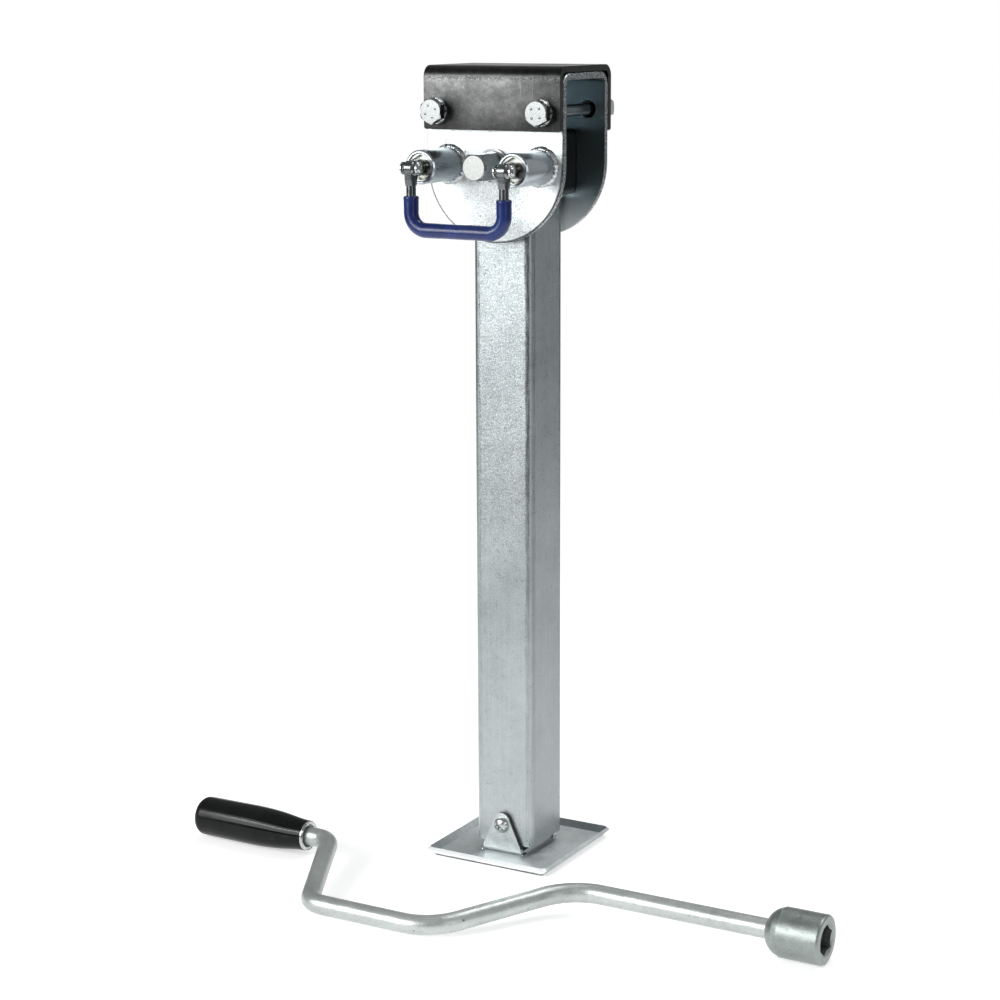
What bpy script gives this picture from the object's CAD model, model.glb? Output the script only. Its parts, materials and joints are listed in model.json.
import bpy, math, json, random
from mathutils import Vector, Matrix, noise


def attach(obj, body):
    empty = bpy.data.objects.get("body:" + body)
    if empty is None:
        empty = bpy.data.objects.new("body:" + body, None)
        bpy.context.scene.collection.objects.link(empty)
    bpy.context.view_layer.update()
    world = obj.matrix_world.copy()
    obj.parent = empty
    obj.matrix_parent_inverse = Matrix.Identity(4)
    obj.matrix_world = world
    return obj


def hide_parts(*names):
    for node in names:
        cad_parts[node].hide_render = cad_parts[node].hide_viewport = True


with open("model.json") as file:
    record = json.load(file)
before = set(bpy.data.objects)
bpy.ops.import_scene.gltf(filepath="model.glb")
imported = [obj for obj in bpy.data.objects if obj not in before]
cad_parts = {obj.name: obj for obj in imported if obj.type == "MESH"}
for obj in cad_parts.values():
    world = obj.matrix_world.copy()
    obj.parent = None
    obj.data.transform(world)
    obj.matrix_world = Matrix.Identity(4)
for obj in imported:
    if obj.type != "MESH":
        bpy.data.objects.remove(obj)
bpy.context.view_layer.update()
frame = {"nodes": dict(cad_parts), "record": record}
NODES = frame["nodes"]
MM = 0.001
WORLD_LOW, WORLD_TOP = 0.15, 0.34

Z_PIV = 538.0
SL_X = 38.5
PIN_Y = -89.7


# ---------------------------------------------------------------- mesh helpers
def V(x, y, z):
    return Vector((x * MM, y * MM, z * MM))


def make(name, verts, faces, body, material, replaces=(), smooth=True, bevel=0.0):
    me = bpy.data.meshes.new(name)
    me.from_pydata([tuple(v) for v in verts], [], faces)
    me.validate()
    me.update()
    ob = bpy.data.objects.new(name, me)
    bpy.context.scene.collection.objects.link(ob)
    for p in me.polygons:
        p.use_smooth = smooth
    if material is not None:
        me.materials.append(material)
    if bevel:
        m = ob.modifiers.new("edges", "BEVEL")
        m.width = bevel
        m.segments = 2
        m.limit_method = "ANGLE"
    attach(ob, body)
    if replaces:
        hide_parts(*replaces)
    return ob


def join_parts(parts):
    """parts: list of (verts, faces) -> one (verts, faces)"""
    vs, fs = [], []
    for v, f in parts:
        n = len(vs)
        vs += v
        fs += [tuple(i + n for i in q) for q in f]
    return vs, fs


def fillet_path(pts, radii, seg=14):
    """polyline with rounded corners as a dense list of points (mm)"""
    pts = [Vector(p) for p in pts]
    out = [pts[0]]
    for i in range(1, len(pts) - 1):
        a, b, c = pts[i - 1], pts[i], pts[i + 1]
        d1, d2 = (a - b).normalized(), (c - b).normalized()
        r = radii[i - 1]
        half = d1.angle(d2) / 2
        t = r / math.tan(half)
        p1, p2 = b + d1 * t, b + d2 * t
        cen = b + (d1 + d2).normalized() * (r / math.sin(half))
        ang = math.pi - 2 * half
        ax = (p1 - cen).cross(p2 - cen).normalized()
        for k in range(seg + 1):
            q = Matrix.Rotation(ang * k / seg, 3, ax) @ (p1 - cen)
            out.append(cen + q)
    out.append(pts[-1])
    return out


def resample(path, step):
    out = [path[0]]
    for a, b in zip(path[:-1], path[1:]):
        L = (b - a).length
        if L < 1e-9:
            continue
        n = max(1, int(round(L / step)))
        for k in range(1, n + 1):
            out.append(a.lerp(b, k / n))
    return out


def tube(path, rad, sides=32, cap=True):
    """path in mm, rad(i, t, ang, point) in mm; returns (verts in m, faces)"""
    n = len(path)
    tan = []
    for i in range(n):
        a = path[max(0, i - 1)]
        b = path[min(n - 1, i + 1)]
        tan.append((b - a).normalized())
    up = Vector((0, 0, 1)) if abs(tan[0].z) < 0.8 else Vector((0, 1, 0))
    nrm = (up - tan[0] * up.dot(tan[0])).normalized()
    vs, fs = [], []
    for i in range(n):
        if i:
            ax = tan[i - 1].cross(tan[i])
            if ax.length > 1e-9:
                nrm = Matrix.Rotation(tan[i - 1].angle(tan[i]), 3, ax.normalized()) @ nrm
            nrm = (nrm - tan[i] * nrm.dot(tan[i])).normalized()
        bi = tan[i].cross(nrm)
        for s in range(sides):
            a = 2 * math.pi * s / sides
            d = nrm * math.cos(a) + bi * math.sin(a)
            r = rad(i, i / (n - 1), a, path[i] + d * 5)
            vs.append((path[i] + d * r) * MM)
    for i in range(n - 1):
        for s in range(sides):
            t = (s + 1) % sides
            fs.append((i * sides + s, i * sides + t, (i + 1) * sides + t, (i + 1) * sides + s))
    if cap:
        vs.append(path[0] * MM)
        vs.append(path[-1] * MM)
        c0, c1 = len(vs) - 2, len(vs) - 1
        for s in range(sides):
            t = (s + 1) % sides
            fs.append((c0, t, s))
            fs.append((c1, (n - 1) * sides + s, (n - 1) * sides + t))
    return vs, fs


def loop_solid(rings):
    """rings: list of closed vertex rings of equal size, itself closed (torus topology)"""
    n, m = len(rings), len(rings[0])
    vs = [v for r in rings for v in r]
    fs = []
    for i in range(n):
        j = (i + 1) % n
        for s in range(m):
            t = (s + 1) % m
            fs.append((i * m + s, i * m + t, j * m + t, j * m + s))
    return vs, fs


def blob(cx, cy, cz, rx, ry, rz, seed, lump=0.18, floor=None, lat=10, lon=16):
    """small lumpy closed bead (mm)"""
    vs, fs = [], []
    for i in range(lat + 1):
        th = math.pi * i / lat
        for j in range(lon):
            ph = 2 * math.pi * j / lon
            d = Vector((math.sin(th) * math.cos(ph), math.sin(th) * math.sin(ph), math.cos(th)))
            k = 1 + lump * noise.noise(d * 2.3 + Vector((seed, seed * 0.7, -seed)))
            p = Vector((cx + d.x * rx * k, cy + d.y * ry * k, cz + d.z * rz * k))
            if floor is not None and p.z < floor:
                p.z = floor
            vs.append(p * MM)
    for i in range(lat):
        for j in range(lon):
            k = (j + 1) % lon
            a, b, c, d = i * lon + j, i * lon + k, (i + 1) * lon + k, (i + 1) * lon + j
            if i == 0:
                fs.append((0, c, d))
            elif i == lat - 1:
                fs.append((a, b, lat * lon))
            else:
                fs.append((a, b, c, d))
    # weld the poles
    keep, idx = [], {}
    for q, v in enumerate(vs):
        if q < lon:
            idx[q] = 0
            if q == 0:
                keep.append(v)
        elif q >= lat * lon:
            if q == lat * lon:
                idx[q] = len(keep)
                keep.append(v)
                last = idx[q]
            idx[q] = last
        else:
            idx[q] = len(keep)
            keep.append(v)
    out = []
    for f in fs:
        g = []
        for q in f:
            w = idx[q]
            if w not in g:
                g.append(w)
        if len(g) > 2:
            out.append(tuple(reversed(g)))
    return keep, out


# ------------------------------------------------------------------- materials
class NT:
    def __init__(self, name):
        self.m = bpy.data.materials.new(name)
        self.m.use_nodes = True
        self.t = self.m.node_tree
        self.t.nodes.clear()
        self.out = self.t.nodes.new("ShaderNodeOutputMaterial")
        self.b = self.t.nodes.new("ShaderNodeBsdfPrincipled")
        self.t.links.new(self.b.outputs[0], self.out.inputs[0])
        self.co = self.t.nodes.new("ShaderNodeTexCoord").outputs["Object"]

    def n(self, kind, **kw):
        x = self.t.nodes.new(kind)
        for k, v in kw.items():
            setattr(x, k, v)
        return x

    def link(self, a, b):
        self.t.links.new(a, b)

    def mapping(self, scale, rot=(0, 0, 0), loc=(0, 0, 0)):
        x = self.n("ShaderNodeMapping")
        x.inputs["Scale"].default_value = scale
        x.inputs["Rotation"].default_value = rot
        x.inputs["Location"].default_value = loc
        self.link(self.co, x.inputs["Vector"])
        return x.outputs[0]

    def noise(self, scale, detail=3.0, rough=0.55, vec=None, dist=0.0):
        x = self.n("ShaderNodeTexNoise")
        x.inputs["Scale"].default_value = scale
        x.inputs["Detail"].default_value = detail
        x.inputs["Roughness"].default_value = rough
        x.inputs["Distortion"].default_value = dist
        self.link(vec or self.co, x.inputs["Vector"])
        return x.outputs["Fac"]

    def voronoi(self, scale, feature="F1", vec=None, rnd=1.0):
        x = self.n("ShaderNodeTexVoronoi", feature=feature)
        x.inputs["Scale"].default_value = scale
        x.inputs["Randomness"].default_value = rnd
        self.link(vec or self.co, x.inputs["Vector"])
        return x

    def ramp(self, fac, stops, interp="LINEAR"):
        x = self.n("ShaderNodeValToRGB")
        x.color_ramp.interpolation = interp
        e = x.color_ramp.elements
        while len(e) < len(stops):
            e.new(0.5)
        for el, (p, c) in zip(e, stops):
            el.position = p
            el.color = (c, c, c, 1) if isinstance(c, (int, float)) else (c[0], c[1], c[2], 1)
        self.link(fac, x.inputs["Fac"])
        return x.outputs["Color"]

    def mrange(self, fac, a, b, c, d):
        x = self.n("ShaderNodeMapRange")
        x.inputs["From Min"].default_value = a
        x.inputs["From Max"].default_value = b
        x.inputs["To Min"].default_value = c
        x.inputs["To Max"].default_value = d
        self.link(fac, x.inputs["Value"])
        return x.outputs["Result"]

    def math(self, op, a, b=None, clamp=False):
        x = self.n("ShaderNodeMath", operation=op, use_clamp=clamp)
        for i, v in enumerate((a, b)):
            if v is None:
                continue
            if isinstance(v, (int, float)):
                x.inputs[i].default_value = v
            else:
                self.link(v, x.inputs[i])
        return x.outputs[0]

    def mixc(self, fac, a, b, blend="MIX"):
        x = self.n("ShaderNodeMix", data_type="RGBA", blend_type=blend)
        x.clamp_factor = True
        for sock, v in ((x.inputs[0], fac), (x.inputs[6], a), (x.inputs[7], b)):
            if isinstance(v, (int, float)):
                sock.default_value = v
            elif isinstance(v, tuple):
                sock.default_value = (v[0], v[1], v[2], 1)
            else:
                self.link(v, sock)
        return x.outputs[2]

    def bump(self, h, strength, dist, normal=None):
        x = self.n("ShaderNodeBump")
        x.inputs["Strength"].default_value = strength
        x.inputs["Distance"].default_value = dist
        self.link(h, x.inputs["Height"])
        if normal is not None:
            self.link(normal, x.inputs["Normal"])
        return x.outputs[0]

    def base(self, v):
        s = self.b.inputs["Base Color"]
        if isinstance(v, tuple):
            s.default_value = (v[0], v[1], v[2], 1)
        else:
            self.link(v, s)

    def rough(self, v):
        self.link(v, self.b.inputs["Roughness"])

    def normal(self, v):
        self.link(v, self.b.inputs["Normal"])

    def const(self, **kw):
        for k, v in kw.items():
            self.b.inputs[k.replace("_", " ")].default_value = v


def edge_mask(nt, radius=0.0012):
    """thin bright wear along convex edges"""
    bv = nt.n("ShaderNodeBevel", samples=4)
    bv.inputs["Radius"].default_value = radius
    geo = nt.n("ShaderNodeNewGeometry")
    d = nt.n("ShaderNodeVectorMath", operation="DOT_PRODUCT")
    nt.link(bv.outputs[0], d.inputs[0])
    nt.link(geo.outputs["Normal"], d.inputs[1])
    return nt.mrange(d.outputs["Value"], 0.995, 0.90, 0.0, 1.0)


def zinc(name, lo, hi, r0, r1, grain=0.5, coarse=0.25, pits=0.5, seed=0.0, streak=None, contrast=0.20):
    nt = NT(name)
    loc = (seed, seed * 0.37, -seed * 0.61)
    v = nt.mapping((1, 1, 1), loc=loc)
    big = nt.noise(22.0, 4.0, 0.6, v)
    mid = nt.noise(160.0, 3.0, 0.6, v)
    fine = nt.noise(950.0, 2.0, 0.65, v)
    sparkle = nt.noise(2300.0, 1.0, 0.5, v)
    tone = nt.math("ADD", nt.math("MULTIPLY", big, 0.45), nt.math("MULTIPLY", mid, 0.2))
    tone = nt.math("ADD", tone, nt.math("MULTIPLY", fine, 0.35))
    col = nt.ramp(tone, [(0.50 - contrast, lo), (0.50 + contrast, hi)])
    if streak is not None:
        sv = nt.mapping(streak[0], loc=loc)
        st = nt.noise(1.0, 3.0, 0.6, sv)
        col = nt.mixc(nt.mrange(st, 0.45, 0.8, 0.0, streak[1]), col, tuple(x * 1.12 for x in hi))
    if pits:
        vo = nt.voronoi(110.0, vec=v)
        dens = nt.noise(30.0, 2.0, 0.5, v)
        pm = nt.math("MULTIPLY", nt.mrange(vo.outputs["Distance"], 0.05, 0.11, 1.0, 0.0), nt.mrange(dens, 0.50, 0.62, 0.0, pits))
        col = nt.mixc(pm, col, tuple(x * 0.28 for x in lo))
    nt.base(col)
    rr = nt.math("ADD", nt.math("MULTIPLY", fine, 0.5), nt.math("MULTIPLY", mid, 0.5))
    nt.rough(nt.mrange(rr, 0.30, 0.70, r0, r1))
    h = nt.math("ADD", nt.math("MULTIPLY", fine, 0.7), nt.math("MULTIPLY", sparkle, 0.3))
    nb = nt.bump(mid, coarse, 0.0006)
    nb = nt.bump(h, grain, 0.00016, nb)
    nt.normal(nb)
    nt.const(Metallic=1.0)
    return nt


M = {}


def plate_zinc():
    nt = zinc("zinc_plate", (0.44, 0.48, 0.485), (0.80, 0.84, 0.84), 0.32, 0.48, grain=1.6, coarse=0.3, seed=1.3, pits=0.6, contrast=0.13)
    old = nt.b.inputs["Base Color"].links[0].from_socket
    sz = nt.n("ShaderNodeSeparateXYZ")
    nt.link(nt.co, sz.inputs[0])
    dx = nt.math("SUBTRACT", sz.outputs[0], 0.010)
    dz = nt.math("SUBTRACT", sz.outputs[2], 0.510)
    d = nt.math("SQRT", nt.math("ADD", nt.math("MULTIPLY", dx, dx), nt.math("MULTIPLY", dz, dz)))
    near = nt.mrange(d, 0.012, 0.046, 1.0, 0.12)
    g = nt.noise(1150.0, 2.0, 0.6, nt.mapping((1, 1, 1), loc=(2.9, 1.1, 0.6)))
    gm = nt.math("MULTIPLY", nt.mrange(g, 0.54, 0.62, 0.0, 0.85), near, clamp=True)
    col = nt.mixc(gm, old, (0.10, 0.11, 0.112))
    # rolled edge of the half round
    pz = nt.math("MINIMUM", nt.math("SUBTRACT", sz.outputs[2], Z_PIV * MM), 0.0)
    rr = nt.math("SQRT", nt.math("ADD", nt.math("MULTIPLY", sz.outputs[0], sz.outputs[0]), nt.math("MULTIPLY", pz, pz)))
    em = nt.math("MULTIPLY", nt.mrange(rr, 0.0552, 0.0560, 0.0, 0.85), nt.mrange(rr, 0.0590, 0.0600, 1.0, 0.0), clamp=True)
    em = nt.math("MULTIPLY", em, nt.mrange(sz.outputs[2], 0.552, 0.534, 0.25, 1.0), clamp=True)
    em = nt.math("MULTIPLY", em, nt.mrange(sz.outputs[1], -0.0353, -0.0354, 0.0, 1.0), clamp=True)
    nt.base(nt.mixc(em, col, (0.05, 0.055, 0.055)))
    return nt.m


M["zinc_plate"] = plate_zinc()


def tube_zinc(half):
    """zinc plated square tube: grain, fine scratches, dark line beside each corner"""
    nt = zinc("zinc_tube", (0.28, 0.315, 0.32), (0.50, 0.545, 0.55), 0.24, 0.38, grain=1.7, coarse=0.28, seed=4.1, pits=0.35,
              streak=((420, 420, 9), 0.30))
    old = nt.b.inputs["Base Color"].links[0].from_socket
    sz = nt.n("ShaderNodeSeparateXYZ")
    nt.link(nt.co, sz.inputs[0])
    ax = nt.math("ABSOLUTE", sz.outputs[0])
    ay = nt.math("ABSOLUTE", sz.outputs[1])
    lo = nt.math("MINIMUM", ax, ay)
    # upper part is darker and more broken up
    high = nt.mrange(sz.outputs[2], 0.20, 0.47, 0.0, 1.0)
    wob = nt.noise(1.0, 2.0, 0.5, nt.mapping((60, 60, 25), loc=(3.3, 0.2, 1.1)))
    lw = nt.math("ADD", lo, nt.mrange(wob, 0.3, 0.7, -0.0006, 0.0006))
    line = nt.mrange(nt.math("ABSOLUTE", nt.math("SUBTRACT", lw, half - 0.0052)), 0.0003, 0.0013, 1.0, 0.0)
    br = nt.noise(1.0, 3.0, 0.6, nt.mapping((500, 500, 70), loc=(0.7, 1.9, 0.2)))
    lm = nt.math("MULTIPLY", line, nt.mrange(br, 0.36, 0.58, 0.15, 0.75))
    lm = nt.math("MULTIPLY", lm, nt.mrange(high, 0.0, 1.0, 0.25, 1.0), clamp=True)
    col = nt.mixc(lm, old, (0.045, 0.05, 0.052))
    # short dark scratches
    sc = nt.noise(1.0, 2.0, 0.6, nt.mapping((900, 900, 150), rot=(0, 0, 0), loc=(1.7, 0.3, 0.9)))
    pat = nt.noise(1.0, 2.0, 0.5, nt.mapping((38, 38, 22), loc=(6.1, 2.3, 4.4)))
    sm = nt.math("MULTIPLY", nt.mrange(sc, 0.62, 0.70, 0.0, 1.0), nt.mrange(pat, 0.46, 0.62, 0.0, 0.75))
    sm = nt.math("MULTIPLY", sm, nt.mrange(high, 0.0, 1.0, 0.35, 1.0), clamp=True)
    col = nt.mixc(nt.math("MULTIPLY", sm, 0.6), col, (0.10, 0.11, 0.112))
    col = nt.mixc(nt.mrange(sz.outputs[2], 0.19, 0.03, 0.0, 0.30), col, (0.86, 0.90, 0.90))
    front = nt.mrange(sz.outputs[1], -half + 0.0015, -half + 0.0004, 0.0, 1.0)
    sag = nt.mrange(nt.math("ABSOLUTE", nt.math("SUBTRACT", sz.outputs[2], 0.245)), 0.06, 0.21, 0.22, 0.0)
    col = nt.mixc(nt.math("MULTIPLY", front, sag), col, (0.06, 0.07, 0.07))
    gr = nt.noise(1250.0, 2.0, 0.65, nt.mapping((1, 1, 1), loc=(8.1, 3.7, 5.2)))
    gw = nt.math("MULTIPLY", front, nt.mrange(sz.outputs[2], 0.19, 0.33, 0.12, 1.0))
    col = nt.mixc(nt.math("MULTIPLY", gw, nt.mrange(gr, 0.50, 0.62, 0.0, 0.34), clamp=True), col, (0.10, 0.11, 0.115))
    col = nt.mixc(nt.math("MULTIPLY", gw, nt.mrange(gr, 0.50, 0.38, 0.0, 0.34), clamp=True), col, (0.86, 0.91, 0.92))
    cx = nt.math("ADD", sz.outputs[0], nt.mrange(wob, 0.3, 0.7, -0.0005, 0.0005))
    band = nt.mrange(nt.math("ABSOLUTE", nt.math("SUBTRACT", cx, half - 0.0037)), 0.0011, 0.0019, 1.0, 0.0)
    band = nt.math("MULTIPLY", band, nt.mrange(sz.outputs[1], -half + 0.0055, -half + 0.0050, 0.0, 1.0))
    band = nt.math("MULTIPLY", band, nt.mrange(br, 0.34, 0.56, 0.30, 0.85))
    band = nt.math("MULTIPLY", band, nt.mrange(sz.outputs[2], 0.14, 0.34, 0.12, 0.85), clamp=True)
    col = nt.mixc(band, col, (0.05, 0.055, 0.057))
    side = nt.math("MULTIPLY", nt.mrange(sz.outputs[0], half - 0.0022, half - 0.0003, 0.0, 1.0), nt.mrange(high, 0.0, 1.0, 0.42, 0.10))
    col = nt.mixc(side, col, (0.10, 0.115, 0.12))
    nt.base(col)
    return nt.m


M["zinc_tube"] = tube_zinc(0.025)
M["zinc_fastener"] = zinc("zinc_fastener", (0.46, 0.48, 0.48), (0.66, 0.68, 0.68), 0.12, 0.22, grain=0.07, coarse=0.02, seed=7.7, pits=0.3).m
M["zinc_sleeve"] = zinc("zinc_sleeve", (0.34, 0.38, 0.41), (0.50, 0.55, 0.575), 0.17, 0.27, grain=0.10, coarse=0.01, seed=2.9, pits=0.35).m
M["weld_metal"] = zinc("weld_metal", (0.22, 0.24, 0.25), (0.80, 0.82, 0.83), 0.16, 0.34, grain=0.9, coarse=1.0, seed=5.5, pits=0.8).m
M["zinc_rod"] = zinc("zinc_rod", (0.39, 0.42, 0.41), (0.60, 0.635, 0.62), 0.28, 0.42, grain=0.9, coarse=0.45, seed=9.2, pits=1.0, contrast=0.13).m
M["zinc_rod"].node_tree.nodes["Principled BSDF"].inputs["Metallic"].default_value = 0.72
M["spring_steel"] = zinc("spring_steel", (0.20, 0.20, 0.21), (0.34, 0.34, 0.35), 0.26, 0.40, grain=0.1, coarse=0.03, seed=3.3, pits=0.2).m
M["machined_steel"] = zinc("machined_steel", (0.38, 0.39, 0.40), (0.54, 0.55, 0.56), 0.24, 0.38, grain=0.15, coarse=0.04, seed=6.6, pits=0.2).m
M["pin_steel"] = zinc("pin_steel", (0.20, 0.215, 0.215), (0.38, 0.40, 0.395), 0.10, 0.18, grain=0.08, coarse=0.03, seed=3.9, pits=0.6).m
M["socket_zinc"] = zinc("socket_zinc", (0.24, 0.27, 0.26), (0.42, 0.455, 0.44), 0.34, 0.48, grain=0.9, coarse=0.35, seed=2.2, pits=1.0, contrast=0.14).m


def inner_zinc():
    nt = zinc("plate_inner", (0.32, 0.38, 0.40), (0.43, 0.49, 0.515), 0.22, 0.32, grain=0.12, coarse=0.05, seed=6.1, pits=0.2)
    old = nt.b.inputs["Base Color"].links[0].from_socket
    sz = nt.n("ShaderNodeSeparateXYZ")
    nt.link(nt.co, sz.inputs[0])
    m = nt.mrange(sz.outputs[2], 0.514, 0.488, 0.0, 1.0)
    col = nt.mixc(m, old, (0.80, 0.85, 0.86))
    nt.base(col)
    nt.rough(nt.mrange(m, 0.0, 1.0, 0.26, 0.50))
    nt.link(nt.mrange(m, 0.0, 1.0, 1.0, 0.25), nt.b.inputs["Metallic"])
    return nt.m


M["plate_inner"] = inner_zinc()
M["bush_zinc"] = zinc("bush_zinc", (0.28, 0.29, 0.27), (0.44, 0.45, 0.42), 0.26, 0.36, grain=0.2, coarse=0.05, seed=5.9, pits=0.5)
M["bush_zinc"] = M["bush_zinc"].m
M["foot_top"] = zinc("foot_top", (0.56, 0.60, 0.605), (0.84, 0.88, 0.88), 0.46, 0.62, grain=1.2, coarse=0.3, seed=3.8, pits=0.6, contrast=0.14).m
M["ear_bend"] = zinc("ear_bend", (0.62, 0.66, 0.66), (0.80, 0.84, 0.84), 0.34, 0.46, grain=0.6, coarse=0.2, seed=2.6, pits=0.4).m
M["ear_bend"].node_tree.nodes["Principled BSDF"].inputs["Metallic"].default_value = 0.5
M["rim_inner"] = zinc("rim_inner", (0.27, 0.30, 0.305), (0.40, 0.435, 0.44), 0.26, 0.40, grain=0.8, coarse=0.2, seed=7.2, pits=0.5).m
M["bolt_face"] = zinc("bolt_face", (0.20, 0.21, 0.21), (0.28, 0.29, 0.29), 0.22, 0.34, grain=0.25, coarse=0.05, seed=4.7, pits=0.5).m
M["dark_steel"] = zinc("dark_steel", (0.10, 0.11, 0.115), (0.20, 0.215, 0.22), 0.14, 0.26, grain=0.2, coarse=0.05, seed=8.8, pits=0.6).m
M["foot_edge"] = zinc("foot_edge", (0.86, 0.89, 0.89), (0.96, 0.98, 0.98), 0.30, 0.42, grain=0.25, coarse=0.05, seed=1.9, pits=0.1).m
M["foot_edge"].node_tree.nodes["Principled BSDF"].inputs["Metallic"].default_value = 0.25


def cut_edge():
    """sheared and plated sheet edge: coarse bright and dark grains"""
    nt = NT("cut_edge")
    v = nt.mapping((1, 1, 1), loc=(1.7, 0.2, 3.3))
    g1 = nt.noise(720.0, 2.0, 0.6, v)
    g2 = nt.noise(1700.0, 2.0, 0.6, v)
    big = nt.noise(60.0, 2.0, 0.5, v)
    t = nt.math("ADD", nt.math("MULTIPLY", g1, 0.6), nt.math("MULTIPLY", g2, 0.4))
    col = nt.ramp(t, [(0.38, (0.05, 0.055, 0.06)), (0.50, (0.24, 0.26, 0.27)), (0.64, (0.90, 0.92, 0.93))])
    nt.base(col)
    nt.rough(nt.mrange(big, 0.3, 0.7, 0.20, 0.40))
    nb = nt.bump(g1, 0.9, 0.0007)
    nb = nt.bump(g2, 0.6, 0.0003, nb)
    nt.normal(nb)
    nt.const(Metallic=1.0)
    return nt.m


def edge_line():
    """dull narrow bevel left where the sheet was cut"""
    nt = NT("edge_line")
    v = nt.mapping((1, 1, 1), loc=(0.9, 2.2, 0.3))
    g1 = nt.noise(520.0, 3.0, 0.6, v)
    nt.base(nt.ramp(g1, [(0.34, (0.025, 0.03, 0.03)), (0.60, (0.10, 0.11, 0.11)), (0.74, (0.45, 0.47, 0.47))]))
    nt.rough(nt.mrange(g1, 0.3, 0.7, 0.45, 0.65))
    nt.normal(nt.bump(g1, 0.4, 0.0003))
    nt.const(Metallic=0.6)
    return nt.m


M["cut_edge"] = cut_edge()
M["edge_line"] = edge_line()


def black_coat():
    nt = NT("channel_black")
    v = nt.mapping((1, 1, 1), loc=(2.2, 0.4, 1.9))
    big = nt.noise(34.0, 4.0, 0.62, v)
    mid = nt.noise(210.0, 3.0, 0.6, v)
    fine = nt.noise(1200.0, 2.0, 0.6, v)
    tone = nt.math("ADD", nt.math("MULTIPLY", big, 0.5), nt.math("MULTIPLY", mid, 0.3))
    tone = nt.math("ADD", tone, nt.math("MULTIPLY", fine, 0.2))
    col = nt.ramp(tone, [(0.36, (0.010, 0.010, 0.011)), (0.52, (0.028, 0.029, 0.029)), (0.68, (0.085, 0.087, 0.087))])
    # light vertical rub marks
    sc = nt.noise(1.0, 2.0, 0.5, nt.mapping((900, 900, 26), loc=(0.3, 0, 0.7)))
    area = nt.noise(26.0, 2.0, 0.5, nt.mapping((1, 1, 1), loc=(5.2, 1.4, 3.9)))
    sm = nt.math("MULTIPLY", nt.mrange(sc, 0.60, 0.74, 0.0, 1.0), nt.mrange(area, 0.52, 0.66, 0.0, 0.55))
    col = nt.mixc(sm, col, (0.16, 0.16, 0.16))
    spk = nt.voronoi(330.0, vec=v)
    sp = nt.math("MULTIPLY", nt.mrange(spk.outputs["Distance"], 0.05, 0.13, 1.0, 0.0), nt.mrange(big, 0.46, 0.60, 0.0, 0.9))
    col = nt.mixc(sp, col, (0.30, 0.31, 0.31))
    sz = nt.n("ShaderNodeSeparateXYZ")
    nt.link(nt.co, sz.inputs[0])
    line = nt.mrange(nt.math("ABSOLUTE", nt.math("SUBTRACT", sz.outputs[2], 0.6012)), 0.0004, 0.0022, 1.0, 0.0)
    lm = nt.math("MULTIPLY", line, nt.mrange(fine, 0.50, 0.62, 0.0, 0.8))
    lm = nt.math("MULTIPLY", lm, nt.mrange(sz.outputs[1], -0.0385, -0.0395, 0.0, 1.0), clamp=True)
    col = nt.mixc(lm, col, (0.34, 0.35, 0.35))
    nt.rough(nt.mrange(tone, 0.35, 0.70, 0.24, 0.46))
    sep = nt.n("ShaderNodeSeparateXYZ")
    nt.link(nt.co, sep.inputs[0])
    wide = nt.noise(17.0, 3.0, 0.6, nt.mapping((1, 1, 1.6), loc=(4.4, 0.2, 0.8)))
    fade = nt.mrange(nt.math("ABSOLUTE", nt.math("ADD", sep.outputs[0], 0.004)), 0.020, 0.057, 1.0, 0.35)
    low = nt.mrange(sep.outputs[2], 0.566, 0.582, 0.45, 1.0)
    sheen = nt.math("MULTIPLY", nt.mrange(wide, 0.36, 0.64, 0.45, 1.15), nt.math("MULTIPLY", fade, low))
    sheen = nt.math("MULTIPLY", sheen, nt.mrange(mid, 0.30, 0.70, 0.70, 1.25))
    for bx in (-45.3, 42.7):
        ux = nt.math("SUBTRACT", sep.outputs[0], (bx + 9.0) * MM)
        uz = nt.math("SUBTRACT", sep.outputs[2], 0.577)
        ud = nt.math("SQRT", nt.math("ADD", nt.math("MULTIPLY", ux, ux), nt.math("MULTIPLY", uz, uz)))
        sheen = nt.math("MULTIPLY", sheen, nt.mrange(ud, 0.009, 0.021, 0.30, 1.0))
    sheen = nt.math("MULTIPLY", sheen, 0.86)
    dim = nt.mixc(0.5, col, (0.0, 0.0, 0.0))
    lit = nt.mixc(1.0, dim, nt.math("MULTIPLY", sheen, 0.073), blend="ADD")
    face = nt.mrange(sep.outputs[1], -0.030, -0.032, 0.0, 1.0)
    up = nt.mrange(nt.math("ABSOLUTE", nt.math("SUBTRACT", sep.outputs[2], 0.5975)), 0.001, 0.007, 0.75, 0.0)
    up = nt.math("MULTIPLY", up, nt.mrange(sep.outputs[0], 0.0, 0.040, 1.0, 0.1))
    left = nt.mrange(sep.outputs[0], -0.020, -0.042, 0.0, 1.0)
    ul = nt.math("MULTIPLY", left, nt.mrange(nt.math("ABSOLUTE", nt.math("SUBTRACT", sep.outputs[2], 0.594)), 0.006, 0.011, 0.9, 0.0))
    gain = nt.math("ADD", 1.0, nt.math("MULTIPLY", face, nt.math("ADD", up, ul)))
    gain = nt.math("MULTIPLY", gain, nt.mrange(sep.outputs[2], 0.5993, 0.6016, 1.0, 0.42))
    gain = nt.math("MULTIPLY", gain, nt.mrange(sep.outputs[2], 0.562, 0.576, 0.48, 1.0))
    nt.base(nt.mixc(1.0, lit, gain, blend="MULTIPLY"))
    nb = nt.bump(mid, 0.35, 0.0005)
    nb = nt.bump(fine, 0.45, 0.00014, nb)
    nt.normal(nb)
    nt.const(Metallic=1.0)
    nt.b.inputs["Coat Weight"].default_value = 0.15
    nt.b.inputs["Coat Roughness"].default_value = 0.28
    return nt.m


M["channel_black"] = black_coat()


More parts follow.
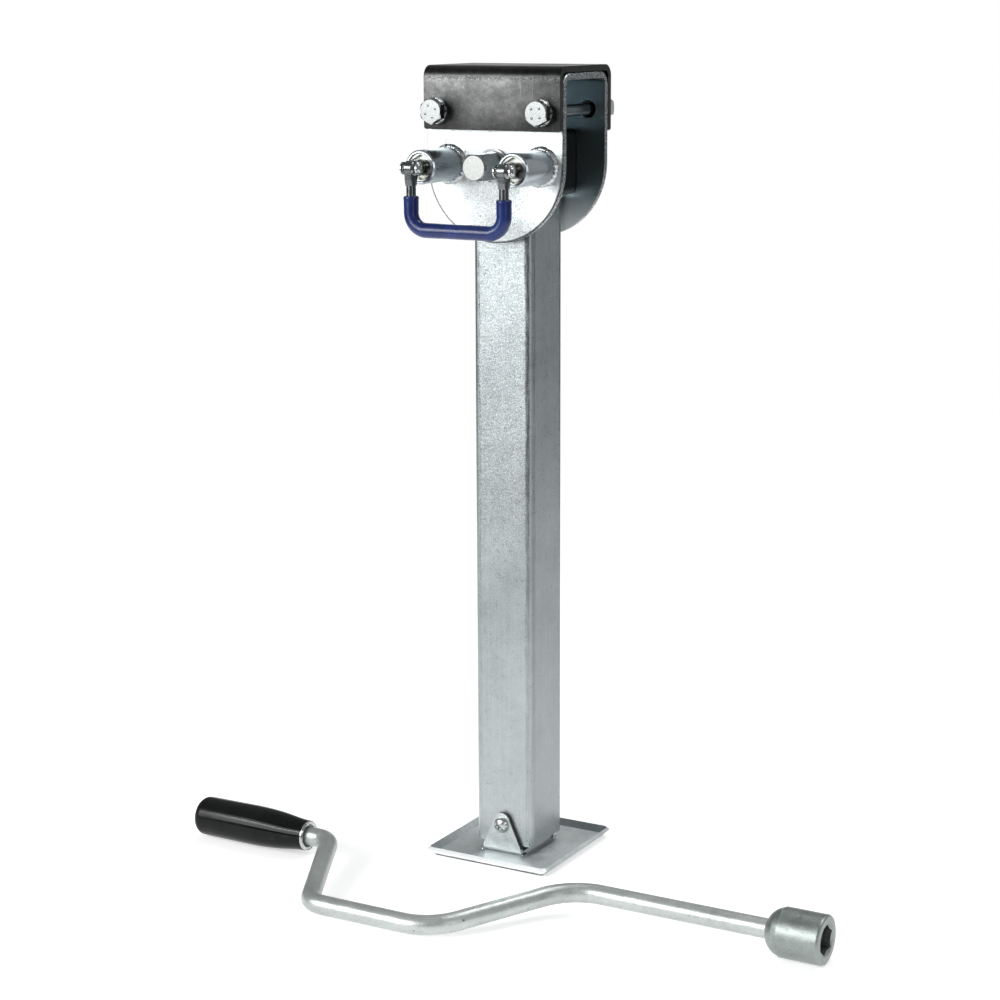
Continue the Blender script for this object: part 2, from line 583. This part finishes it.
def dip_blue():
    nt = NT("handle_blue")
    v = nt.mapping((1, 1, 1))
    big = nt.noise(60.0, 2.0, 0.5, v)
    mid = nt.noise(300.0, 2.0, 0.5, v)
    col = nt.ramp(big, [(0.35, (0.003, 0.012, 0.090)), (0.68, (0.005, 0.022, 0.140))])
    nt.base(col)
    nt.rough(nt.mrange(mid, 0.3, 0.7, 0.26, 0.34))
    nt.normal(nt.bump(big, 0.10, 0.0012))
    nt.b.inputs["IOR"].default_value = 1.5
    nt.b.inputs["Specular IOR Level"].default_value = 0.36
    nt.b.inputs["Coat Weight"].default_value = 0.26
    nt.b.inputs["Coat Roughness"].default_value = 0.17
    return nt.m


M["handle_blue"] = dip_blue()


def grip_black():
    nt = NT("grip_black")
    v = nt.mapping((1, 1, 1))
    big = nt.noise(60.0, 3.0, 0.55, v)
    mid = nt.noise(500.0, 2.0, 0.5, v)
    sc = nt.noise(1.0, 2.0, 0.5, nt.mapping((40, 700, 700), loc=(0.2, 0.5, 0.1)))
    col = nt.ramp(big, [(0.3, (0.0025, 0.003, 0.003)), (0.7, (0.006, 0.0065, 0.0065))])
    col = nt.mixc(nt.mrange(sc, 0.66, 0.76, 0.0, 0.5), col, (0.05, 0.05, 0.05))
    nt.base(col)
    sx = nt.n("ShaderNodeSeparateXYZ")
    nt.link(nt.co, sx.inputs[0])
    along = nt.mrange(sx.outputs[0], -0.225, -0.165, 0.22, 0.035)
    nt.rough(nt.math("ADD", along, nt.mrange(mid, 0.3, 0.7, 0.0, 0.04)))
    nt.normal(nt.bump(big, 0.05, 0.0008))
    nt.b.inputs["IOR"].default_value = 1.42
    nt.b.inputs["Specular IOR Level"].default_value = 0.24
    return nt.m


M["grip_black"] = grip_black()


def bronze():
    nt = zinc("bronze", (0.42, 0.27, 0.12), (0.60, 0.42, 0.20), 0.30, 0.46, grain=0.2, coarse=0.1, seed=8.1, pits=0.2)
    return nt.m


M["bronze"] = bronze()


def nylon():
    nt = NT("nylon")
    v = nt.mapping((1, 1, 1))
    mid = nt.noise(300.0, 3.0, 0.5, v)
    nt.base(nt.ramp(mid, [(0.3, (0.70, 0.69, 0.63)), (0.7, (0.82, 0.81, 0.76))]))
    nt.rough(nt.mrange(mid, 0.3, 0.7, 0.42, 0.56))
    nt.normal(nt.bump(mid, 0.2, 0.0003))
    return nt.m


M["nylon"] = nylon()


def turned_face(name, cx, cz, lo, hi):
    """faced-off bar end: fine concentric tool rings about an axis along Y"""
    nt = NT(name)
    sep = nt.n("ShaderNodeSeparateXYZ")
    nt.link(nt.co, sep.inputs[0])
    dx = nt.math("SUBTRACT", sep.outputs[0], cx)
    dz = nt.math("SUBTRACT", sep.outputs[2], cz)
    r = nt.math("SQRT", nt.math("ADD", nt.math("MULTIPLY", dx, dx), nt.math("MULTIPLY", dz, dz)))
    rings = nt.math("SINE", nt.math("MULTIPLY", r, 2 * math.pi / 0.0013))
    nz = nt.noise(500.0, 3.0, 0.6)
    t = nt.math("ADD", nt.math("MULTIPLY", rings, 0.07), nz)
    nt.base(nt.ramp(t, [(0.25, lo), (0.75, hi)]))
    nt.rough(nt.mrange(nz, 0.3, 0.7, 0.30, 0.42))
    nb = nt.bump(rings, 0.05, 0.00005)
    nb = nt.bump(nz, 0.05, 0.0001, nb)
    nt.normal(nb)
    nt.const(Metallic=1.0)
    return nt.m


M["shaft_face"] = turned_face("shaft_face", 0.0, Z_PIV * MM, (0.26, 0.27, 0.265), (0.40, 0.41, 0.40))

M["hex_side"] = zinc("hex_side", (0.24, 0.27, 0.27), (0.36, 0.39, 0.39), 0.20, 0.30, grain=0.3, coarse=0.06, seed=2.4, pits=0.5).m

DARK = ("pivot_housing", "housing_front_plate", "housing_rear_plate")
slot_of = {s["node"]: s["material_slot"] for s in frame["record"]["subparts"]}
for name, ob in NODES.items():
    ob.data.materials.clear()
    ob.data.materials.append(M["channel_black"] if name in DARK else M[slot_of[name]])

# faced front of the hexagon gets its own finish
sh = NODES["drive_shaft"]
sh.data.materials.append(M["shaft_face"])
sh.data.materials.append(M["hex_side"])
for p in sh.data.polygons:
    if p.normal.y < -0.9 and p.center.y < -0.060:
        p.material_index = 1
    elif p.center.y < -0.040:
        p.material_index = 2


def put(node, mat):
    NODES[node].data.materials.clear()
    NODES[node].data.materials.append(mat)


put("lock_pins", M["pin_steel"])
put("crank_socket", M["socket_zinc"])
put("handle_rod", M["dark_steel"])
put("sleeve_bushes", M["bush_zinc"])

# bolts: duller faces on the heads, dark shanks
me_k = NODES["mounting_bolts"].data
me_k.materials.append(M["bolt_face"])
me_k.materials.append(M["dark_steel"])
for p in me_k.polygons:
    if p.normal.y < -0.9 and p.center.y < -0.050:
        p.material_index = 1
    elif p.center.y > -0.044:
        p.material_index = 2

# foot bracket: bright sheared sides of the web, pale bend below the front ear
me_w = NODES["foot_bracket"].data
me_w.materials.append(M["foot_edge"])
me_w.materials.append(M["edge_line"])
me_w.materials.append(M["ear_bend"])
for p in me_w.polygons:
    if abs(p.normal.x) > 0.9 and p.center.z < 0.0065:
        p.material_index = 1
    elif p.center.z > 0.0085 and abs(p.normal.y) < 0.3:
        p.material_index = 2
    elif p.normal.z < -0.15 and abs(p.normal.y) > 0.25 and p.center.z > 0.003:
        p.material_index = 3

# swivel bracket: sheared outline, dull bevel, darker inside
me_b = NODES["swivel_bracket"].data
for k in ("cut_edge", "edge_line", "plate_inner"):
    me_b.materials.append(M[k])
for p in me_b.polygons:
    x, y, zz = [v / MM for v in p.center]
    rad = abs(x) if zz > Z_PIV else math.hypot(x, zz - Z_PIV)
    if rad > 56.0 and abs(p.normal.y) < 0.3 and abs(p.normal.z) < 0.99 or (rad > 56.0 and zz < 490 and abs(p.normal.y) < 0.3):
        p.material_index = 1
    elif rad > 56.0 and 0.5 < abs(p.normal.y) < 0.9 and y < -34.5:
        p.material_index = 2
    elif abs(y) < 30.7 and zz < 600.2:
        p.material_index = 3

# foot plate: bright sheared edge of the rim, dull burr line under it
RIM_Z = 0.0054


def foot_under():
    nt = zinc("foot_under", (0.84, 0.87, 0.87), (0.95, 0.97, 0.97), 0.42, 0.56, grain=0.8, seed=5.2, pits=0.5)
    old = nt.b.inputs["Base Color"].links[0].from_socket
    sz = nt.n("ShaderNodeSeparateXYZ")
    nt.link(nt.co, sz.inputs[0])
    nz = nt.noise(260.0, 2.0, 0.5)
    edge = nt.math("ADD", sz.outputs[2], nt.mrange(nz, 0.3, 0.7, -0.0003, 0.0003))
    m = nt.mrange(edge, 0.0014, 0.0024, 0.95, 0.0)
    nt.base(nt.mixc(m, old, (0.03, 0.033, 0.033)))
    return nt.m


me_f = NODES["foot_plate"].data
me_f.materials.append(M["foot_edge"])
me_f.materials.append(foot_under())
for p in me_f.polygons:
    out = p.center.x * p.normal.x + p.center.y * p.normal.y
    if 0.55 < p.normal.z < 0.85 and p.center.z > RIM_Z - 0.0001 and out > 0:
        p.material_index = 1 if p.normal.y < -0.3 else 4
    elif -0.9 < p.normal.z < -0.4 and out > 0:
        p.material_index = 2 if abs(p.normal.y) > 0.3 else 3
    elif p.normal.y < -0.2 and p.center.y > 0.040 and p.normal.z > 0:
        p.material_index = 3
    elif p.normal.z > 0.9:
        p.material_index = 4
me_f.materials.append(M["rim_inner"])
me_f.materials.append(M["foot_top"])


# --------------------------------------------------------------- detail pieces
def weld_ring(cx, cz, y0, r_in, seed):
    """rippled fillet bead around a tube that stands on the plate at y0 (mm)"""
    rings = []
    N = 220
    rnd = random.Random(seed)
    ph = rnd.random() * 6
    for i in range(N):
        a = 2 * math.pi * i / N
        d = Vector((math.cos(a), 0, math.sin(a)))
        rip = 0.5 + 0.5 * math.sin(a * 34 + 1.3 * math.sin(3 * a + ph))
        w = noise.noise(Vector((math.cos(a) * 2.1 + seed, math.sin(a) * 2.1, seed * 0.3)))
        w2 = noise.noise(Vector((math.cos(a) * 9 + seed, math.sin(a) * 9, seed * 1.3)))
        leg = 2.5 + 0.7 * w + 0.45 * w2
        hgt = 2.2 + 0.8 * w + 0.6 * w2
        ring = []
        prof = [(0.0, 0.35), (0.0, hgt), (leg * 0.25, hgt * 0.93 + 0.20 * rip), (leg * 0.52, hgt * 0.70 + 0.34 * rip),
                (leg * 0.75, hgt * 0.44 + 0.32 * rip), (leg, 0.38 + 0.12 * rip), (leg + 0.28, 0.0), (leg * 0.5, -0.0)]
        for u, h in prof:
            u2 = min(u, leg + 0.28)
            q = Vector((cx, y0, cz)) + d * (r_in - 0.12 + u2) + Vector((0, -h - 0.0, 0))
            ring.append(q * MM)
        rings.append(ring)
    return loop_solid(rings)


parts = []
for k, sx in enumerate((-SL_X, SL_X)):
    parts.append(weld_ring(sx, Z_PIV, -35.45, 12.5, 3.1 + 5.7 * k))
vs, fs = join_parts(parts)
make("sleeve_weld_beads", vs, fs, "bracket", M["weld_metal"], ("sleeve_welds",))

# fine spatter round the sleeve welds and on the plate
rnd = random.Random(11)
parts = []
for i in range(46):
    sx = rnd.choice((-SL_X, SL_X))
    a = rnd.uniform(0, 2 * math.pi)
    r = 16.4 + abs(rnd.gauss(0, 2.6))
    x, z = sx + r * math.cos(a), Z_PIV + r * math.sin(a)
    if math.hypot(x, z - Z_PIV) > 55 and z < Z_PIV:
        continue
    if abs(x) > 56 or math.hypot(x, z - Z_PIV) < 13:
        continue
    s = rnd.uniform(0.22, 0.5)
    parts.append(blob(x, -35.5, z, s, s * 0.7, s, i * 1.7, 0.2, None, 5, 7))
vs, fs = join_parts(parts)
make("weld_spatter", vs, fs, "bracket", M["weld_metal"])

# weld beads at the corners of the foot bracket
parts = []
i = 0
for sx in (-1, 1):
    for sy in (-1, 1):
        for du, dv, s in ((0.0, 0.0, 2.3), (0.9, -1.9, 2.0), (0.6, 1.7, 1.8), (1.4, -0.4, 1.7)):
            i += 1
            parts.append(blob(sx * (17.0 + du), sy * (24.6 + dv), 2.6, s, s, s * 0.86, i * 2.3, 0.35, 2.6, 10, 16))
vs, fs = join_parts(parts)
make("foot_weld_beads", vs, fs, "foot", M["weld_metal"], ("foot_welds",))


# dipped vinyl on the handle: slightly uneven, thicker lip at both ends
def dip():
    Hb, Hd = Z_PIV - 44.2, Z_PIV - 19.8
    p = fillet_path([(-SL_X, PIN_Y, Hd), (-SL_X, PIN_Y, Hb), (SL_X, PIN_Y, Hb), (SL_X, PIN_Y, Hd)], [12.5, 12.5], 16)
    p = resample(p, 0.7)
    n = len(p)
    L = [0.0]
    for a, b in zip(p[:-1], p[1:]):
        L.append(L[-1] + (b - a).length)
    T = L[-1]

    def rad(i, t, ang, q):
        e = min(L[i], T - L[i])
        r = 5.42 + 0.16 * noise.noise(q * 0.075 + Vector((3, 1, 2))) + 0.06 * noise.noise(q * 0.3)
        r += 0.20 * math.exp(-((e - 1.4) / 1.3) ** 2)
        if e < 0.7:
            r -= 0.55 * (1 - e / 0.7) ** 1.5
        return r

    outer, fo = tube(p, rad, 40, cap=False)
    inner, fi = tube(p, lambda i, t, a, q: 3.53, 40, cap=False)
    nv = len(outer)
    vs = outer + inner
    fs = list(fo) + [tuple(reversed([q + nv for q in f])) for f in fi]
    s = 40
    for k in range(s):
        t = (k + 1) % s
        fs.append((t, k, nv + k, nv + t))
        b = (n - 1) * s
        fs.append((b + k, b + t, nv + b + t, nv + b + k))
    return vs, fs


vs, fs = dip()
make("handle_dip", vs, fs, "handle", M["handle_blue"], ("handle_dip_sleeve",))

# raised dots on the bolt heads
parts = []
for bx in (-45.3, 42.7):
    for k in range(4):
        a = math.radians(38 + 90 * k + (11 if bx > 0 else -14))
        x, z = bx + 4.6 * math.cos(a), 577.0 + 4.6 * math.sin(a)
        parts.append(blob(x, -51.1, z, 1.0, 0.24, 1.0, k * 3.1 + bx, 0.05, None, 8, 16))
vs, fs = join_parts(parts)
make("bolt_head_dots", vs, fs, "bracket", M["dark_steel"])


# ------------------------------------------------------------------ stage
def floor_mat():
    nt = NT("floor")
    n1 = nt.noise(3.0, 3.0, 0.5)
    nt.base(nt.ramp(n1, [(0.3, 0.80), (0.7, 0.82)]))
    nt.b.inputs["Roughness"].default_value = 0.9
    nt.b.inputs["Specular IOR Level"].default_value = 0.1
    nt.b.inputs["Emission Color"].default_value = (1, 1, 1, 1)
    nt.b.inputs["Emission Strength"].default_value = 0.52
    ln = nt.n("ShaderNodeVectorMath", operation="LENGTH")
    nt.link(nt.co, ln.inputs[0])
    fade = nt.mrange(ln.outputs["Value"], 1.0, 1.9, 0.0, 1.0)
    tr = nt.n("ShaderNodeBsdfTransparent")
    mx = nt.n("ShaderNodeMixShader")
    nt.link(fade, mx.inputs[0])
    nt.link(nt.b.outputs[0], mx.inputs[1])
    nt.link(tr.outputs[0], mx.inputs[2])
    nt.link(mx.outputs[0], nt.out.inputs[0])
    return nt.m


me = bpy.data.meshes.new("floor")
ring = [(2.0 * math.cos(2 * math.pi * i / 96), 2.0 * math.sin(2 * math.pi * i / 96), -0.0004) for i in range(96)]
me.from_pydata(ring, [], [tuple(range(96))])
fl = bpy.data.objects.new("floor", me)
bpy.context.scene.collection.objects.link(fl)
me.materials.append(floor_mat())

w = bpy.data.worlds.new("studio")
bpy.context.scene.world = w
w.use_nodes = True
wt = w.node_tree
wt.nodes.clear()
wo = wt.nodes.new("ShaderNodeOutputWorld")
bg = wt.nodes.new("ShaderNodeBackground")
tc = wt.nodes.new("ShaderNodeTexCoord")
sp = wt.nodes.new("ShaderNodeSeparateXYZ")
wt.links.new(tc.outputs["Generated"], sp.inputs[0])
# grey room, lighter overhead
rz = wt.nodes.new("ShaderNodeValToRGB")
rz.color_ramp.elements[0].position = 0.0
rz.color_ramp.elements[0].color = (WORLD_LOW, WORLD_LOW * 1.01, WORLD_LOW * 1.03, 1)
rz.color_ramp.elements[1].position = 0.75
rz.color_ramp.elements[1].color = (WORLD_TOP, WORLD_TOP * 1.01, WORLD_TOP * 1.03, 1)
wt.links.new(sp.outputs[2], rz.inputs[0])
# white backdrop on one side
dot = wt.nodes.new("ShaderNodeVectorMath")
dot.operation = "DOT_PRODUCT"
dot.inputs[1].default_value = (-0.475, 0.857, -0.200)
wt.links.new(tc.outputs["Generated"], dot.inputs[0])
mr = wt.nodes.new("ShaderNodeMapRange")
mr.interpolation_type = "SMOOTHSTEP"
mr.inputs["From Min"].default_value = 0.895
mr.inputs["From Max"].default_value = 0.945
wt.links.new(dot.outputs["Value"], mr.inputs["Value"])
mx = wt.nodes.new("ShaderNodeMix")
mx.data_type = "RGBA"
# soft grey reflector behind on the right
dot2 = wt.nodes.new("ShaderNodeVectorMath")
dot2.operation = "DOT_PRODUCT"
dot2.inputs[1].default_value = (0.46, 0.83, 0.31)
wt.links.new(tc.outputs["Generated"], dot2.inputs[0])
mr2 = wt.nodes.new("ShaderNodeMapRange")
mr2.interpolation_type = "SMOOTHSTEP"
mr2.inputs["From Min"].default_value = 0.70
mr2.inputs["From Max"].default_value = 0.97
wt.links.new(dot2.outputs["Value"], mr2.inputs["Value"])
mx2 = wt.nodes.new("ShaderNodeMix")
mx2.data_type = "RGBA"
wt.links.new(mr2.outputs["Result"], mx2.inputs[0])
wt.links.new(rz.outputs[0], mx2.inputs[6])
mx2.inputs[7].default_value = (0.45, 0.46, 0.465, 1)
wt.links.new(mr.outputs["Result"], mx.inputs[0])
wt.links.new(mx2.outputs[2], mx.inputs[6])
mx.inputs[7].default_value = (1.0, 1.0, 1.0, 1)
wt.links.new(mx.outputs[2], bg.inputs["Color"])
bg.inputs["Strength"].default_value = 1.0
wt.links.new(bg.outputs[0], wo.inputs[0])


def area(name, loc, target, size, size_y, energy, color=(1, 1, 1)):
    li = bpy.data.lights.new(name, "AREA")
    li.shape = "RECTANGLE"
    li.size = size
    li.size_y = size_y
    li.energy = energy
    li.color = color
    ob = bpy.data.objects.new(name, li)
    bpy.context.scene.collection.objects.link(ob)
    ob.location = loc
    d = Vector(target) - Vector(loc)
    ob.rotation_euler = d.to_track_quat("-Z", "Y").to_euler()
    return ob


area("key", (-1.35, -2.3, 1.62), (0, 0, 0.45), 2.0, 0.9, 22)
area("strip", (-1.45, -2.0, 1.41), (-0.19, -0.1, 0.02), 1.3, 0.045, 9)
area("low", (-1.12, -2.02, 0.84), (0, 0, 0.54), 1.5, 0.88, 24)
area("side", (1.9, -1.3, 0.8), (0, 0, 0.35), 0.35, 1.3, 4)
area("top", (0.5, 0.9, 2.4), (0, 0, 0.0), 1.2, 1.2, 22)
bpy.context.scene.view_settings.view_transform = "Standard"

# ------------------------------------------------------------------ camera
f_px = 2321.071
pitch, az, D = math.radians(12.060), math.radians(29.060), 1747.237
yaw, zc, roll = math.radians(0.472), 653.709, math.radians(-0.238)
C = Vector((D * math.sin(az), -D * math.cos(az), zc)) * MM
h = Vector((-math.sin(az), math.cos(az), 0))
r = Vector((math.cos(az), math.sin(az), 0))
z = Vector((0, 0, 1))
h2 = h * math.cos(yaw) - r * math.sin(yaw)
r2 = r * math.cos(yaw) + h * math.sin(yaw)
F = h2 * math.cos(pitch) - z * math.sin(pitch)
up = h2 * math.sin(pitch) + z * math.cos(pitch)
R = r2 * math.cos(roll) + up * math.sin(roll)
U = up * math.cos(roll) - r2 * math.sin(roll)
cam = bpy.data.cameras.new("cam")
cam.sensor_fit = "HORIZONTAL"
cam.sensor_width = 36.0
cam.lens = f_px * 36.0 / 1000.0
cam.clip_start = 0.05
cam.clip_end = 60
co = bpy.data.objects.new("cam", cam)
bpy.context.scene.collection.objects.link(co)
B = -F
co.matrix_world = Matrix(((R.x, U.x, B.x, C.x), (R.y, U.y, B.y, C.y), (R.z, U.z, B.z, C.z), (0, 0, 0, 1)))
bpy.context.scene.camera = co
